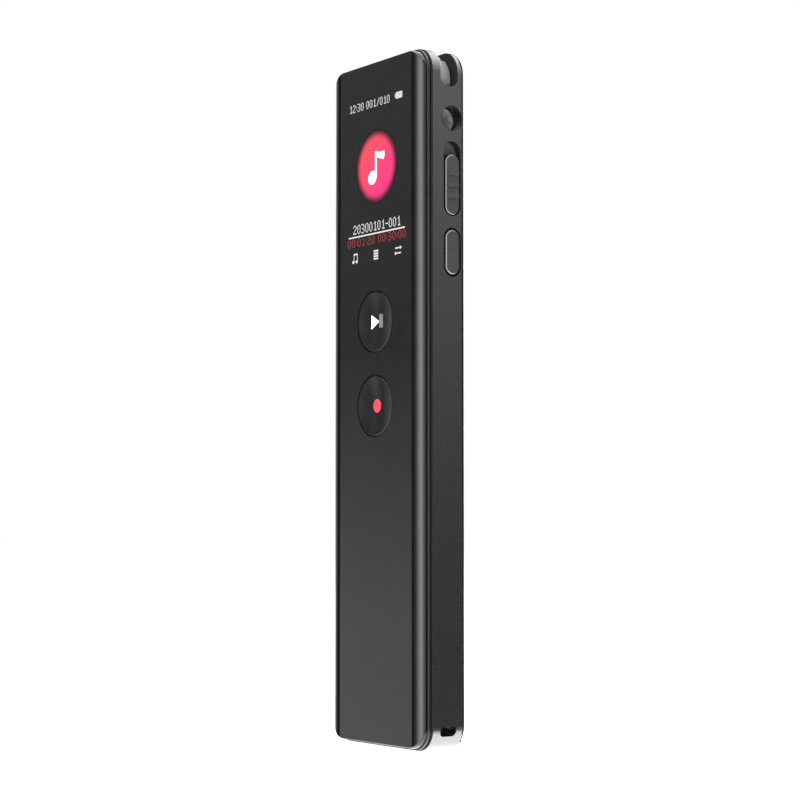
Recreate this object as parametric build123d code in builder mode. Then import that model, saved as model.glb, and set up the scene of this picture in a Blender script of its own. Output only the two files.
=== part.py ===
from build123d import *
import math
import os

# A handheld voice recorder standing upright: +Z up, the front faces -Y, and the side with
# the jack, the slide switch and the push key faces +X. The origin is at the middle of the
# bottom end, half way through the thickness. All lengths are in millimetres.

# ---------------------------------------------------------------- driving dimensions
LENGTH = 100.9
WIDTH = 24.4
THICKNESS = 8.3
CORNER_RADIUS = 3.5
HALF_WIDTH = WIDTH / 2
MIDDLE = LENGTH / 2
FRONT = -THICKNESS / 2
BACK = THICKNESS / 2
EDGE_STEPS = 6                       # sections in a lofted quarter-ellipse edge

# Rear housing
HOUSING_FRONT = -2.50                # rim that the front frame sits on
WALL = 1.2
CAVITY_BACK = 3.3
SIDE_BACK = 2.70                     # where the flat sides start to turn into the back
BACK_EDGE_INSET = 3.2
RIM_FILLET = 0.05

# Front frame and cover panel
GROOVE = 0.14                        # parting line round the body
FRAME_INSET = 0.10
FRAME_BACK = HOUSING_FRONT - GROOVE
PANEL_INSET = 0.32
PANEL_BACK = -3.12
PANEL_RIM = 0.10                     # straight rim under the curved edge of the panel
PANEL_SIDE_ROLL = 2.45               # how far in the long sides curve over
PANEL_END_ROLL = 0.25                # and the two ends
ADHESIVE = 0.10
PLATE_FRONT = PANEL_BACK + ADHESIVE
SKIRT_BACK = -1.90
SKIRT_CLEARANCE = 0.12
SKIRT_THICKNESS = 0.9
CLIP_HEIGHTS = (20.35, 50.35, 78.35)
CLIP_LENGTH = 4.0
CLIP_Y = (-2.35, -2.05)
CLIP_REACH = 0.25

# Front buttons
PLAY_Z = 61.90
RECORD_Z = 49.50
CAP_RADIUS = 4.42
CAP_GAP = 0.20
CAP_BACK = -2.95
CAP_FLANGE = 0.30
CAP_FLANGE_RADIUS = 5.0
CAP_POST_RADIUS = 1.3
CAP_POST_BACK = -2.40
DISH_DEPTH = 0.42
DISH_RADIUS = 4.2

# Side controls: one line of features on the +X side, and the rocker opposite
SIDE_Y = 1.15
JACK_Z = 90.70
JACK_RADIUS = 1.8
JACK_CHAMFER = 0.06
JACK_DEPTH = 14.0
SLIDE_SLOT = (76.45, 87.30)
SLIDE_SLOT_WIDTH = 3.0
KNOB = (76.60, 85.40)                # the knob at the lower end of its travel
KNOB_WIDTH = 2.4
KNOB_PROUD = 0.20
KNOB_BAR_PITCH = 1.66
KNOB_BAR = (1.8, 0.7, 0.32)          # across, along and height
KEY_SLOT = (67.65, 74.75)
KEY_SLOT_WIDTH = 3.0
KEY_GAP = 0.30
KEY_PROUD = 0.25
KEY_FLANGE_LAP = 0.4                 # how far a flange reaches past its slot
ROCKER_Z = 78.35
ROCKER_LENGTH = 11.8
ROCKER_GAP = 0.30
ROCKER_PIVOT_X = -9.3
ROCKER_SWITCH_PITCH = 4.2            # from the pivot to each switch
PIN_RADIUS = 0.40

# Microphone slots that wrap the two top corners
SLOT_Y = 0.63
SLOT_WIDTH = 3.04
SLOT_LOW_Z = 95.3
SLOT_TOP_X = 6.3
SLOT_FLOOR = ((10.3, 95.3), (9.9, 98.4), (6.3, 101.1))
SLOT_END_FILLET = 1.2
POD_FRONT = -1.35
PORT_X = 7.2
PORT_RADIUS = 0.45
BOOT_TOP = 98.05
BOOT_X = (4.75, 7.85)

# Lanyard hole through the lower corner
LANYARD_Y = 0.35
LANYARD_WIDTH = 2.75
LANYARD_Z = (2.10, 3.50)
LANYARD_ROUND = 0.65
LANYARD_REACH = 8.1                  # how far in the side opening goes, as an X value
LANYARD_BOTTOM_X = (8.1, 9.7)
LANYARD_BLOCK = ((6.9, 11.1), (-1.6, 3.4), (1.1, 5.3))

# Charging port in the bottom end
USB_Y = 0.85
USB_SHELL = (8.94, 3.20)
USB_WALL = 0.30
USB_DEPTH = 7.3
USB_RECESS = 0.15

# Circuit board
PCB_Y = (-0.90, -0.10)
PCB_Z = (5.85, 93.75)
PCB_HALF_WIDTH = 9.9
PCB_WIDE_HALF_WIDTH = 10.1
PCB_WIDE_TOP = 68.15
SCREWS = ((-9.0, 8.35), (9.0, 8.35), (-8.7, 67.25), (8.7, 67.25))
SCREW_RADIUS = 0.45
BOSS_RADIUS = 1.1

# Display stack
DISPLAY_HALF_WIDTH = 9.0
DISPLAY_Z = (69.85, 97.15)
DISPLAY_BACK = -2.42
BACKLIGHT_LOW = 71.05
BACKLIGHT_BACK = -1.60

# Battery and speaker
BATTERY_HALF_WIDTH = 9.3
BATTERY_Y = (0.25, 3.05)
BATTERY_Z = (27.35, 65.35)
SPEAKER_Z = 18.35
SPEAKER_RADIUS = 7.5
SPEAKER_Y = (0.3, 3.0)
GRILLE_HOLE_RADIUS = 0.45
GRILLE_RINGS = ((1.8, 6), (3.6, 12))


# ---------------------------------------------------------------- shared helpers
def front_plane(y):
    """A plane at depth y that faces the front: local x is X and local y is Z."""
    return Plane.XZ.offset(-y)


def side_plane(x):
    """A plane at x that faces +X: local x is Y and local y is Z."""
    return Plane.YZ.offset(x)


def outline(inset, mode=Mode.ADD):
    """The rounded front outline moved in by inset, for use in a sketch."""
    with Locations((0, MIDDLE)):
        RectangleRounded(
            WIDTH - 2 * inset, LENGTH - 2 * inset, CORNER_RADIUS - inset, mode=mode
        )


def edge_sections(y_start, y_end, inset_start, inset_end):
    """Insets and depths along a quarter ellipse that turns a wall into a face."""
    sections = []
    for step in range(EDGE_STEPS + 1):
        angle = step / EDGE_STEPS * math.pi / 2
        inset = inset_start + (inset_end - inset_start) * (1 - math.cos(angle))
        depth = y_start + (y_end - y_start) * math.sin(angle)
        sections.append((inset, depth))
    return sections


def block(x, y, z, mode=Mode.ADD):
    """A box between (low, high) limits along each axis, for use in a part."""
    with Locations(((x[0] + x[1]) / 2, (y[0] + y[1]) / 2, (z[0] + z[1]) / 2)):
        Box(x[1] - x[0], y[1] - y[0], z[1] - z[0], mode=mode)


def stadium(length, width, z, y=SIDE_Y):
    """A slot shape that runs along Z on a side plane, for use in a sketch."""
    with Locations((y, z)):
        SlotOverall(length, width, rotation=90)


def middle(limits):
    return (limits[0] + limits[1]) / 2


def length_of(limits):
    return limits[1] - limits[0]


def save(sub_part, name):
    """Label a finished sub-part and write it to its own file."""
    sub_part.part.label = name
    export_step(sub_part.part, f"parts/{name}.step")


os.makedirs("parts", exist_ok=True)


# ---------------------------------------------------------------- rear housing
# Shapes used to form the two microphone slots: the slot itself, and the thicker wall
# (the pod) that keeps the slot separate from the inside of the housing.
with BuildPart() as slot_cutter:
    with BuildSketch(front_plane(SLOT_Y + SLOT_WIDTH / 2)):
        with BuildLine():
            ThreePointArc(*SLOT_FLOOR)
            Polyline(
                SLOT_FLOOR[2],
                (SLOT_TOP_X, LENGTH + 1),
                (HALF_WIDTH + 1, LENGTH + 1),
                (HALF_WIDTH + 1, SLOT_LOW_Z),
                SLOT_FLOOR[0],
            )
        make_face()
    extrude(amount=SLOT_WIDTH)
    end_wall = slot_cutter.faces().filter_by(Axis.Z).sort_by(Axis.Z)[0]
    fillet(end_wall.edges().filter_by(Axis.X), radius=SLOT_END_FILLET)

with BuildPart() as slot_pod:
    with BuildSketch(front_plane(CAVITY_BACK + 0.1)):
        outline(WALL / 2)
        with BuildLine():
            Polyline(
                (4.6, LENGTH),
                (4.6, BOOT_TOP),
                (8.0, BOOT_TOP),
                (8.0, 96.75),
                (8.85, 94.25),
                (HALF_WIDTH, 94.25),
                (HALF_WIDTH, LENGTH),
                close=True,
            )
        make_face(mode=Mode.INTERSECT)
    extrude(amount=CAVITY_BACK + 0.1 - POD_FRONT)

with BuildPart() as rear_housing:
    with BuildSketch(front_plane(SIDE_BACK)):
        outline(0)
    extrude(amount=SIDE_BACK - HOUSING_FRONT)
    for inset, depth in edge_sections(SIDE_BACK, BACK, 0, BACK_EDGE_INSET):
        with BuildSketch(front_plane(depth)):
            outline(inset)
    loft()
    with BuildSketch(front_plane(CAVITY_BACK)):
        outline(WALL)
    extrude(amount=CAVITY_BACK - HOUSING_FRONT, mode=Mode.SUBTRACT)
    rim = rear_housing.faces().sort_by(Axis.Y)[0]
    fillet(rim.outer_wire().edges(), radius=RIM_FILLET)

    # Microphone pods, slots and the round ports in the slot floors
    add(slot_pod.part)
    mirror(slot_pod.part, about=Plane.YZ)
    add(slot_cutter.part, mode=Mode.SUBTRACT)
    mirror(slot_cutter.part, about=Plane.YZ, mode=Mode.SUBTRACT)
    with BuildSketch(Plane.XY.offset(BOOT_TOP - 0.1)):
        with Locations((PORT_X, SLOT_Y), (-PORT_X, SLOT_Y)):
            Circle(PORT_RADIUS)
    extrude(amount=3.0, mode=Mode.SUBTRACT)

    # Lanyard hole: in at the rounded corner, out at the bottom, round a solid bridge
    block(*LANYARD_BLOCK)
    with BuildSketch(side_plane(LANYARD_REACH)):
        with Locations((LANYARD_Y, middle(LANYARD_Z))):
            RectangleRounded(LANYARD_WIDTH, length_of(LANYARD_Z), LANYARD_ROUND)
    extrude(amount=HALF_WIDTH, mode=Mode.SUBTRACT)
    with BuildSketch(Plane.XY):
        with Locations((middle(LANYARD_BOTTOM_X), LANYARD_Y)):
            RectangleRounded(length_of(LANYARD_BOTTOM_X), LANYARD_WIDTH, LANYARD_ROUND)
    extrude(amount=LANYARD_Z[1], mode=Mode.SUBTRACT)

    # Openings on the control side: jack, slide switch and push key
    with BuildSketch(side_plane(HALF_WIDTH - WALL - 0.1)):
        with Locations((SIDE_Y, JACK_Z)):
            Circle(JACK_RADIUS)
        stadium(length_of(SLIDE_SLOT), SLIDE_SLOT_WIDTH, middle(SLIDE_SLOT))
        stadium(length_of(KEY_SLOT), KEY_SLOT_WIDTH, middle(KEY_SLOT))
    extrude(amount=WALL + 0.2, mode=Mode.SUBTRACT)
    side_face = rear_housing.faces().filter_by(Axis.X).sort_by(Axis.X)[-1]
    side_circles = side_face.edges().filter_by(GeomType.CIRCLE)
    jack_rim = side_circles.filter_by(lambda edge: abs(edge.radius - JACK_RADIUS) < 0.01)
    chamfer(jack_rim, length=JACK_CHAMFER)

    # Opening on the other side for the rocker
    with BuildSketch(side_plane(-HALF_WIDTH - 0.1)):
        stadium(ROCKER_LENGTH + 2 * ROCKER_GAP, KEY_SLOT_WIDTH, ROCKER_Z)
    extrude(amount=WALL + 0.2, mode=Mode.SUBTRACT)

    # Charging port opening in the bottom end
    with BuildSketch(Plane.XY.offset(-0.1)):
        with Locations((0, USB_Y)):
            SlotOverall(USB_SHELL[0] + 0.16, USB_SHELL[1] + 0.16)
    extrude(amount=WALL + 0.2, mode=Mode.SUBTRACT)

    # Speaker grille: one hole and two rings of holes
    with BuildSketch(front_plane(BACK + 0.1)):
        with Locations((0, SPEAKER_Z)):
            Circle(GRILLE_HOLE_RADIUS)
            for ring_radius, count in GRILLE_RINGS:
                with PolarLocations(ring_radius, count):
                    Circle(GRILLE_HOLE_RADIUS)
    extrude(amount=BACK - CAVITY_BACK + 0.2, mode=Mode.SUBTRACT)

    # Grooves that the clips of the front frame snap into
    for side in (1, -1):
        for height in CLIP_HEIGHTS:
            inner = side * (HALF_WIDTH - WALL - 0.05)
            outer = side * (HALF_WIDTH - WALL + CLIP_REACH + 0.05)
            block(
                sorted((inner, outer)),
                (CLIP_Y[0] - 0.05, CLIP_Y[1] + 0.05),
                (height - CLIP_LENGTH / 2 - 0.1, height + CLIP_LENGTH / 2 + 0.1),
                mode=Mode.SUBTRACT,
            )
save(rear_housing, "rear_housing")


# ---------------------------------------------------------------- front frame
SKIRT_INSET = WALL + SKIRT_CLEARANCE
with BuildPart() as front_frame:
    # Flange that shows as a thin band between the panel and the housing
    with BuildSketch(front_plane(FRAME_BACK)):
        outline(FRAME_INSET)
    extrude(amount=FRAME_BACK - PLATE_FRONT)
    plate = front_frame.faces().sort_by(Axis.Y)[0]
    fillet(plate.outer_wire().edges(), radius=0.10)
    # Seat on the housing rim, and the skirt that drops inside the housing
    with BuildSketch(front_plane(HOUSING_FRONT)):
        outline(FRAME_INSET + 0.4)
    extrude(amount=GROOVE)
    with BuildSketch(front_plane(SKIRT_BACK)):
        outline(SKIRT_INSET)
        outline(SKIRT_INSET + SKIRT_THICKNESS, mode=Mode.SUBTRACT)
    extrude(amount=SKIRT_BACK - HOUSING_FRONT)
    for side in (1, -1):
        for height in CLIP_HEIGHTS:
            inner = side * (HALF_WIDTH - SKIRT_INSET - 0.1)
            outer = side * (HALF_WIDTH - WALL + CLIP_REACH)
            block(
                sorted((inner, outer)),
                CLIP_Y,
                (height - CLIP_LENGTH / 2, height + CLIP_LENGTH / 2),
            )
    # Screw bosses for the circuit board
    with BuildSketch(front_plane(PCB_Y[0])):
        with Locations(SCREWS):
            Circle(BOSS_RADIUS)
    extrude(amount=PCB_Y[0] - HOUSING_FRONT)
    # Window for the display, holes for the buttons, and the screw holes
    with BuildSketch(front_plane(HOUSING_FRONT + 0.05)):
        with Locations((0, middle(DISPLAY_Z))):
            RectangleRounded(2 * DISPLAY_HALF_WIDTH + 0.3, length_of(DISPLAY_Z) + 0.3, 0.5)
        with Locations((0, PLAY_Z), (0, RECORD_Z)):
            Circle(CAP_FLANGE_RADIUS + 0.15)
    extrude(amount=1.0, mode=Mode.SUBTRACT)
    with BuildSketch(front_plane(PCB_Y[0] + 0.05)):
        with Locations(SCREWS):
            Circle(SCREW_RADIUS)
    extrude(amount=1.5, mode=Mode.SUBTRACT)
save(front_frame, "front_frame")


# ---------------------------------------------------------------- cover panel
with BuildPart() as front_panel:
    with BuildSketch(front_plane(PANEL_BACK)):
        outline(PANEL_INSET)
    extrude(amount=PANEL_RIM)
    rim_front = PANEL_BACK - PANEL_RIM
    for inset, depth in edge_sections(rim_front, FRONT, PANEL_INSET, PANEL_INSET + PANEL_END_ROLL):
        with BuildSketch(front_plane(depth)):
            outline(inset)
    loft()
    # The two long sides curve over much further than the ends
    edge_x = HALF_WIDTH - PANEL_INSET
    flat_x = edge_x - PANEL_SIDE_ROLL
    roll = (PANEL_SIDE_ROLL, rim_front - FRONT)
    with BuildSketch(Plane.XY):
        with BuildLine():
            EllipticalCenterArc((-flat_x, rim_front), *roll, start_angle=180, arc_size=90)
            Line((-flat_x, FRONT), (flat_x, FRONT))
            EllipticalCenterArc((flat_x, rim_front), *roll, start_angle=270, arc_size=90)
            Polyline(
                (edge_x, rim_front),
                (edge_x, PANEL_BACK),
                (-edge_x, PANEL_BACK),
                (-edge_x, rim_front),
            )
        make_face()
    extrude(amount=LENGTH, mode=Mode.INTERSECT)
    with BuildSketch(front_plane(PANEL_BACK + 0.1)):
        with Locations((0, PLAY_Z), (0, RECORD_Z)):
            Circle(CAP_RADIUS + CAP_GAP)
    extrude(amount=2.0, mode=Mode.SUBTRACT)
save(front_panel, "front_panel")

with BuildPart() as panel_adhesive:
    with BuildSketch(front_plane(PLATE_FRONT)):
        outline(PANEL_INSET + 0.3)
        with Locations((0, middle(DISPLAY_Z))):
            Rectangle(2 * DISPLAY_HALF_WIDTH + 0.6, length_of(DISPLAY_Z) + 0.6, mode=Mode.SUBTRACT)
        with Locations((0, PLAY_Z), (0, RECORD_Z)):
            Circle(CAP_FLANGE_RADIUS + 0.4, mode=Mode.SUBTRACT)
    extrude(amount=ADHESIVE)
save(panel_adhesive, "panel_adhesive")


# ---------------------------------------------------------------- display stack
with BuildPart() as display_cell:
    block((-DISPLAY_HALF_WIDTH, DISPLAY_HALF_WIDTH), (PANEL_BACK, DISPLAY_BACK), DISPLAY_Z)
    fillet(display_cell.edges().filter_by(Axis.Y), radius=0.4)
save(display_cell, "display_cell")

with BuildPart() as display_backlight:
    block(
        (-DISPLAY_HALF_WIDTH, DISPLAY_HALF_WIDTH),
        (DISPLAY_BACK, BACKLIGHT_BACK),
        (BACKLIGHT_LOW, DISPLAY_Z[1]),
    )
    fillet(display_backlight.edges().filter_by(Axis.Y), radius=0.4)
save(display_backlight, "display_backlight")

BRACKET_SHEET = 0.2
with BuildPart() as display_bracket:
    block(
        (-DISPLAY_HALF_WIDTH - BRACKET_SHEET, DISPLAY_HALF_WIDTH + BRACKET_SHEET),
        (DISPLAY_BACK, BACKLIGHT_BACK + BRACKET_SHEET),
        (BACKLIGHT_LOW, DISPLAY_Z[1] + BRACKET_SHEET),
    )
    block(
        (-DISPLAY_HALF_WIDTH, DISPLAY_HALF_WIDTH),
        (DISPLAY_BACK - 0.1, BACKLIGHT_BACK),
        (BACKLIGHT_LOW - 0.1, DISPLAY_Z[1]),
        mode=Mode.SUBTRACT,
    )
save(display_bracket, "display_bracket")

FLEX_THICKNESS = 0.12
with BuildPart() as display_flex:
    front_leg = DISPLAY_BACK + FLEX_THICKNESS / 2
    back_leg = -1.15
    with BuildSketch(side_plane(-4.0)):
        with BuildLine():
            FilletPolyline(
                (front_leg, BACKLIGHT_LOW - 0.2),
                (front_leg, 69.15),
                (back_leg, 69.15),
                (back_leg, 72.35),
                radius=0.5,
            )
        trace(line_width=FLEX_THICKNESS)
    extrude(amount=8.0)
save(display_flex, "display_flex")

with BuildPart() as display_connector:
    block((-4.6, 4.6), (-1.35, PCB_Y[0]), (72.35, 74.35))
    fillet(display_connector.edges().filter_by(Axis.Y), radius=0.2)
save(display_connector, "display_connector")


# ---------------------------------------------------------------- front buttons
def front_button(z):
    """A round cap with a shallow dish, a flange under the panel and a centre post."""
    dish_sphere = (DISH_RADIUS**2 + DISH_DEPTH**2) / (2 * DISH_DEPTH)
    with BuildPart() as cap:
        with BuildSketch(front_plane(CAP_BACK)):
            with Locations((0, z)):
                Circle(CAP_RADIUS)
        extrude(amount=CAP_BACK - FRONT)
        with Locations((0, FRONT + DISH_DEPTH - dish_sphere, z)):
            Sphere(dish_sphere, mode=Mode.SUBTRACT)
        with BuildSketch(front_plane(CAP_BACK + CAP_FLANGE)):
            with Locations((0, z)):
                Circle(CAP_FLANGE_RADIUS)
        extrude(amount=CAP_FLANGE)
        with BuildSketch(front_plane(CAP_POST_BACK)):
            with Locations((0, z)):
                Circle(CAP_POST_RADIUS)
        extrude(amount=CAP_POST_BACK - CAP_BACK - CAP_FLANGE)
        rim_edges = cap.edges().filter_by(GeomType.CIRCLE).group_by(Axis.Y)[0]
        fillet(rim_edges.sort_by(SortBy.LENGTH)[-1], radius=0.06)
    return cap


save(front_button(PLAY_Z), "play_button")
save(front_button(RECORD_Z), "record_button")

MEMBRANE = (-2.00, -1.75)
with BuildPart() as button_membrane:
    with BuildSketch(front_plane(MEMBRANE[1])):
        with Locations((0, (PLAY_Z + RECORD_Z) / 2)):
            RectangleRounded(12.0, PLAY_Z - RECORD_Z + 11.0, 2.0)
    extrude(amount=length_of(MEMBRANE))
    with BuildSketch(front_plane(MEMBRANE[0])):
        with Locations((0, PLAY_Z), (0, RECORD_Z)):
            Circle(1.6)
    extrude(amount=0.1)
save(button_membrane, "button_membrane")

with BuildPart() as button_switches:
    with BuildSketch(front_plane(PCB_Y[0])):
        with Locations((0, PLAY_Z), (0, RECORD_Z)):
            RectangleRounded(4.6, 4.6, 0.4)
    extrude(amount=0.45)
    with BuildSketch(front_plane(PCB_Y[0] - 0.45)):
        with Locations((0, PLAY_Z), (0, RECORD_Z)):
            Circle(1.8)
    extrude(amount=0.3)
    domes = button_switches.faces().sort_by(Axis.Y)[0:2]
    fillet(domes.edges(), radius=0.2)
save(button_switches, "button_switches")


# ---------------------------------------------------------------- circuit board
with BuildPart() as main_pcb:
    with BuildSketch(front_plane(PCB_Y[1])):
        with Locations((0, middle(PCB_Z))):
            RectangleRounded(2 * PCB_HALF_WIDTH, length_of(PCB_Z), 0.8)
        with Locations((0, (PCB_Z[0] + PCB_WIDE_TOP) / 2)):
            RectangleRounded(2 * PCB_WIDE_HALF_WIDTH, PCB_WIDE_TOP - PCB_Z[0], 0.8)
        # Cut-outs for the jack and for the charging port
        with Locations((3.45, JACK_Z)):
            Rectangle(13.7, 6.5, mode=Mode.SUBTRACT)
        with Locations((0, PCB_Z[0])):
            Rectangle(9.2, 4.0, mode=Mode.SUBTRACT)
        with Locations(SCREWS):
            Circle(0.6, mode=Mode.SUBTRACT)
    extrude(amount=length_of(PCB_Y))
save(main_pcb, "main_pcb")


def chip(x, z, width, height, thickness):
    """A flat moulded package on the back of the board."""
    with BuildPart() as package:
        block(
            (x - width / 2, x + width / 2),
            (PCB_Y[1], PCB_Y[1] + thickness),
            (z - height / 2, z + height / 2),
        )
        chamfer(package.faces().sort_by(Axis.Y)[-1].edges(), length=0.12)
    return package


save(chip(-0.6, 81.35, 7.0, 7.0, 0.9), "processor")
save(chip(-0.6, 73.95, 8.0, 5.6, 0.9), "memory_chip")
save(chip(4.6, 73.95, 1.6, 3.2, 0.8), "crystal")

with BuildPart() as power_inductor:
    block((-6.5, -3.3), (-2.1, PCB_Y[0]), (30.35, 33.55))
    fillet(power_inductor.edges().filter_by(Axis.Y), radius=0.6)
save(power_inductor, "power_inductor")

with BuildPart() as audio_amplifier:
    block((1.5, 5.5), (-1.7, PCB_Y[0]), (29.85, 33.85))
    chamfer(audio_amplifier.faces().sort_by(Axis.Y)[0].edges(), length=0.12)
save(audio_amplifier, "audio_amplifier")

with BuildPart() as chip_capacitors:
    with BuildSketch(front_plane(PCB_Y[0])):
        with Locations((0, 20.95)):
            with GridLocations(3.0, 2.6, 5, 3):
                Rectangle(1.0, 0.5)
    extrude(amount=0.5)
save(chip_capacitors, "chip_capacitors")

with BuildPart() as pcb_screws:
    with BuildSketch(front_plane(PCB_Y[1] + 0.45)):
        with Locations(SCREWS):
            Circle(1.05)
    extrude(amount=0.45)
    with BuildSketch(front_plane(PCB_Y[1])):
        with Locations(SCREWS):
            Circle(SCREW_RADIUS - 0.01)
    extrude(amount=2.0)
    with BuildSketch(front_plane(PCB_Y[1] + 0.5)):
        with Locations(SCREWS):
            Rectangle(1.2, 0.25)
            Rectangle(0.25, 1.2)
    extrude(amount=0.3, mode=Mode.SUBTRACT)
save(pcb_screws, "pcb_screws")


# ---------------------------------------------------------------- headphone jack
JACK_MOUTH = HALF_WIDTH - WALL
JACK_END = HALF_WIDTH - JACK_DEPTH
JACK_BODY = ((JACK_END - 1.2, JACK_MOUTH), (SIDE_Y - 2.1, SIDE_Y + 2.1), (JACK_Z - 3.0, JACK_Z + 3.0))
SLEEVE_X = (6.9, 9.9)
SLEEVE_WALL = 0.18
CONTACTS = ((6.1, 1), (4.2, -1), (2.3, 1), (0.2, -1))


def jack_cylinder(start, end, radius, mode=Mode.ADD):
    """A cylinder on the jack axis between two X values, for use in a part."""
    with Locations(Location(((start + end) / 2, SIDE_Y, JACK_Z), (0, 90, 0))):
        Cylinder(radius, end - start, mode=mode)


with BuildPart() as jack_body:
    block(*JACK_BODY)
    jack_cylinder(JACK_END, JACK_MOUTH + 0.1, JACK_RADIUS, mode=Mode.SUBTRACT)
    jack_cylinder(*SLEEVE_X, JACK_RADIUS + SLEEVE_WALL, mode=Mode.SUBTRACT)
    for x, side in CONTACTS:
        reach = sorted((JACK_Z + side * 1.5, JACK_Z + side * 2.5))
        block((x - 0.5, x + 0.5), (SIDE_Y - 0.8, SIDE_Y + 0.8), reach, mode=Mode.SUBTRACT)
save(jack_body, "jack_body")

with BuildPart() as jack_sleeve:
    jack_cylinder(*SLEEVE_X, JACK_RADIUS + SLEEVE_WALL)
    jack_cylinder(JACK_END, JACK_MOUTH, JACK_RADIUS, mode=Mode.SUBTRACT)
save(jack_sleeve, "jack_sleeve")

with BuildPart() as jack_contacts:
    for x, side in CONTACTS:
        reach = sorted((JACK_Z + side * 1.9, JACK_Z + side * 2.2))
        block((x - 0.4, x + 0.4), (SIDE_Y - 0.7, SIDE_Y + 0.7), reach)
save(jack_contacts, "jack_contacts")


# ---------------------------------------------------------------- charging port
USB_TONGUE = (6.7, 0.7)
with BuildPart() as usb_shell:
    with BuildSketch(Plane.XY.offset(USB_RECESS)):
        with Locations((0, USB_Y)):
            SlotOverall(*USB_SHELL)
            SlotOverall(USB_SHELL[0] - 2 * USB_WALL, USB_SHELL[1] - 2 * USB_WALL, mode=Mode.SUBTRACT)
    extrude(amount=USB_DEPTH - USB_RECESS)
save(usb_shell, "usb_shell")

with BuildPart() as usb_insert:
    with BuildSketch(Plane.XY.offset(USB_DEPTH - 1.3)):
        with Locations((0, USB_Y)):
            SlotOverall(USB_SHELL[0] - 2 * USB_WALL, USB_SHELL[1] - 2 * USB_WALL)
    extrude(amount=1.3)
    with BuildSketch(Plane.XY.offset(USB_RECESS + 0.8)):
        with Locations((0, USB_Y)):
            RectangleRounded(*USB_TONGUE, 0.2)
    extrude(amount=USB_DEPTH - 1.3 - USB_RECESS - 0.8)
save(usb_insert, "usb_insert")


# ---------------------------------------------------------------- slide switch
KNOB_FOOT = 11.08
STEM = ((9.5, KNOB_FOOT), (SIDE_Y - 0.65, SIDE_Y + 0.65), (78.90, 83.10))
SLIDE_TRAVEL = 1.7
LEVER = ((8.0, 10.2), (SIDE_Y - 0.55, SIDE_Y + 0.55), (80.25, 81.75))
GUIDE_X = (10.5, JACK_MOUTH)

with BuildPart() as slide_knob:
    with BuildSketch(side_plane(KNOB_FOOT)):
        stadium(length_of(KNOB), KNOB_WIDTH, middle(KNOB))
    extrude(amount=HALF_WIDTH + KNOB_PROUD - KNOB_FOOT)
    fillet(slide_knob.faces().sort_by(Axis.X)[-1].edges(), radius=0.25)
    for row in (-1, 0, 1):
        with BuildSketch(side_plane(HALF_WIDTH + KNOB_PROUD - 0.05)):
            with Locations((SIDE_Y, middle(KNOB) + row * KNOB_BAR_PITCH)):
                RectangleRounded(KNOB_BAR[0], KNOB_BAR[1], 0.3)
        extrude(amount=KNOB_BAR[2] + 0.05)
    block(*STEM)
    lever_slot_z = (LEVER[2][0] - 0.05, LEVER[2][1] + 0.05)
    block((9.4, 10.25), (SIDE_Y - 1, SIDE_Y + 1), lever_slot_z, mode=Mode.SUBTRACT)
save(slide_knob, "slide_knob")

with BuildPart() as slide_guide:
    with BuildSketch(side_plane(GUIDE_X[0])):
        with Locations((SIDE_Y, middle(SLIDE_SLOT))):
            RectangleRounded(3.9, 11.45, 0.5)
        with Locations((SIDE_Y, middle(STEM[2]) + SLIDE_TRAVEL / 2)):
            Rectangle(1.5, length_of(STEM[2]) + SLIDE_TRAVEL + 0.2, mode=Mode.SUBTRACT)
    extrude(amount=length_of(GUIDE_X))
save(slide_guide, "slide_guide")

with BuildPart() as slide_switch_lever:
    block(*LEVER)
    fillet(slide_switch_lever.faces().sort_by(Axis.X)[-1].edges().filter_by(Axis.Y), radius=0.2)
save(slide_switch_lever, "slide_switch_lever")

with BuildPart() as slide_switch_body:
    block((5.8, 9.2), (PCB_Y[1], 2.4), (76.95, 85.45))
    fillet(slide_switch_body.edges().filter_by(Axis.X), radius=0.2)
    block(
        (LEVER[0][0] - 0.1, 9.3),
        (LEVER[1][0] - 0.1, LEVER[1][1] + 0.1),
        (LEVER[2][0] - 0.1, LEVER[2][1] + SLIDE_TRAVEL + 0.1),
        mode=Mode.SUBTRACT,
    )
save(slide_switch_body, "slide_switch_body")


# ---------------------------------------------------------------- side push key
KEY_X = (10.9, HALF_WIDTH + KEY_PROUD)
KEY_FLANGE_X = (10.4, 10.9)
PLUNGER_RADIUS = 0.6

with BuildPart() as side_key:
    with BuildSketch(side_plane(KEY_X[0])):
        stadium(length_of(KEY_SLOT) - 2 * KEY_GAP, KEY_SLOT_WIDTH - 2 * KEY_GAP, middle(KEY_SLOT))
    extrude(amount=length_of(KEY_X))
    fillet(side_key.faces().sort_by(Axis.X)[-1].edges(), radius=0.3)
    with BuildSketch(side_plane(KEY_FLANGE_X[0])):
        stadium(
            length_of(KEY_SLOT) + 2 * KEY_FLANGE_LAP,
            KEY_SLOT_WIDTH + 2 * KEY_FLANGE_LAP,
            middle(KEY_SLOT),
        )
    extrude(amount=length_of(KEY_FLANGE_X))
    with BuildSketch(side_plane(9.88)):
        with Locations((SIDE_Y, middle(KEY_SLOT))):
            Circle(0.9)
    extrude(amount=KEY_FLANGE_X[0] - 9.88)
save(side_key, "side_key")

with BuildPart() as side_key_plunger:
    with BuildSketch(side_plane(8.5)):
        with Locations((SIDE_Y, middle(KEY_SLOT))):
            Circle(PLUNGER_RADIUS)
    extrude(amount=9.85 - 8.5)
save(side_key_plunger, "side_key_plunger")

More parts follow.
